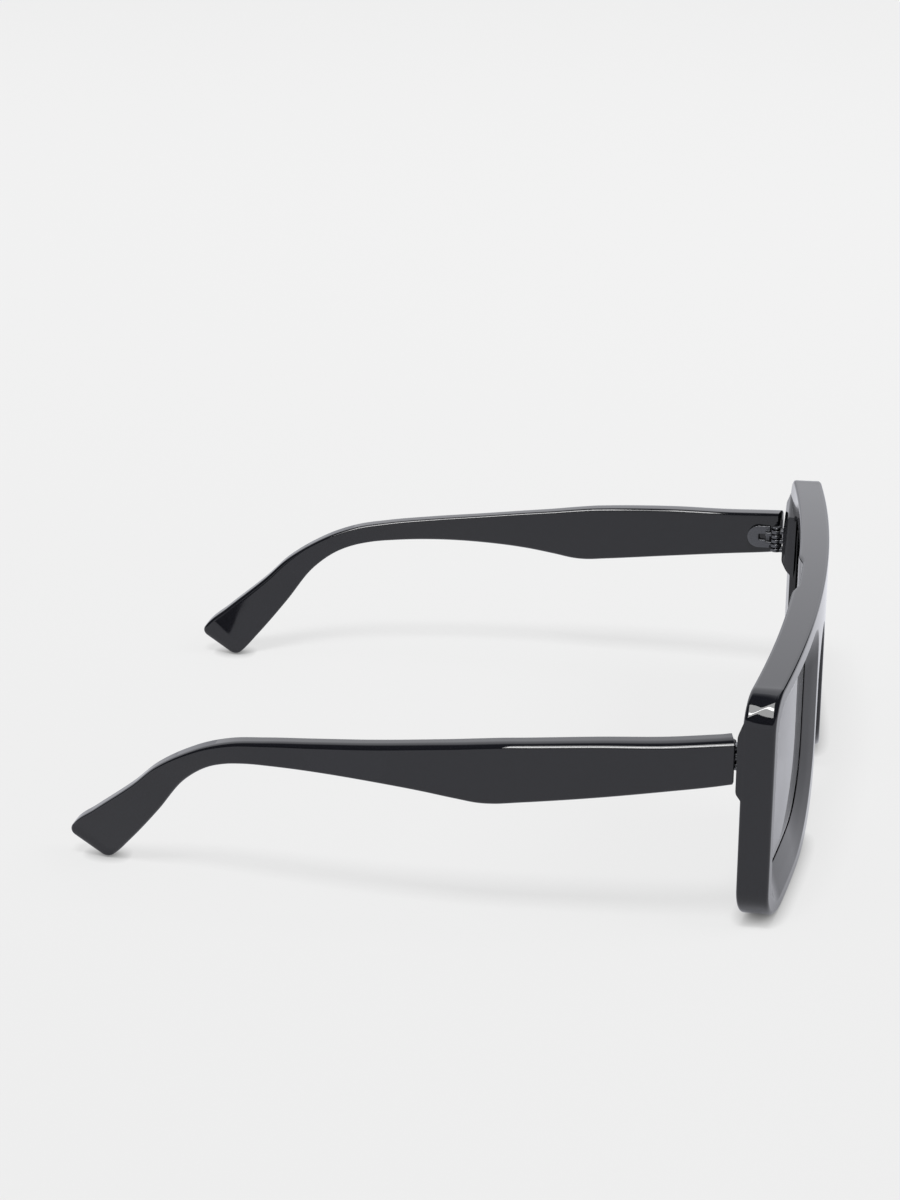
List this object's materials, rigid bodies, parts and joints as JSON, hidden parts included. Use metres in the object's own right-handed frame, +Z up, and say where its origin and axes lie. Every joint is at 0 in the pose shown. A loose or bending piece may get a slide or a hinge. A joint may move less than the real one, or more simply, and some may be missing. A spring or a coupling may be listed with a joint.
{
  "type": "sunglasses",
  "caption": "Black moulded sunglasses with a thick flat-topped front, bevelled rims round large squared lenses, and two wide temples that fold on small metal hinges.",
  "frame": {"origin": "on the floor under the middle of the open glasses' bounding box, where the rims and the temple tips stand", "axes": "-Y is the way the wearer looks and +Y is along the open temples to the ears, +X is the wearer's left, +Z is up from the floor"},
  "size_m": [0.141, 0.15, 0.0507],
  "materials": {
    "black_plastic": "polished",
    "tinted_lens": "polished, tinted",
    "hinge_metal": "satin"
  },
  "bodies": {
    "front": {"front_frame": "black_plastic", "lens_right": "tinted_lens", "lens_left": "tinted_lens", "nose_pad_right": "black_plastic", "nose_pad_left": "black_plastic", "front_hinge_right": "hinge_metal", "front_hinge_left": "hinge_metal", "hinge_screw_right": "hinge_metal", "hinge_screw_left": "hinge_metal"},
    "temple_right": {"temple_right": "black_plastic", "temple_hinge_right": "hinge_metal"},
    "temple_left": {"temple_left": "black_plastic", "temple_hinge_left": "hinge_metal"}
  },
  "joints": [
    {"name": "temple_left_fold", "type": "hinge", "parent": "front", "child": "temple_left", "pos_m": [0.0608, -0.0608, 0.0351], "axis": [0, 0, 1], "range_deg": [0, 87]},
    {"name": "temple_right_fold", "type": "hinge", "parent": "front", "child": "temple_right", "pos_m": [-0.0608, -0.0608, 0.0351], "axis": [0, 0, -1], "range_deg": [0, 71]}
  ]
}
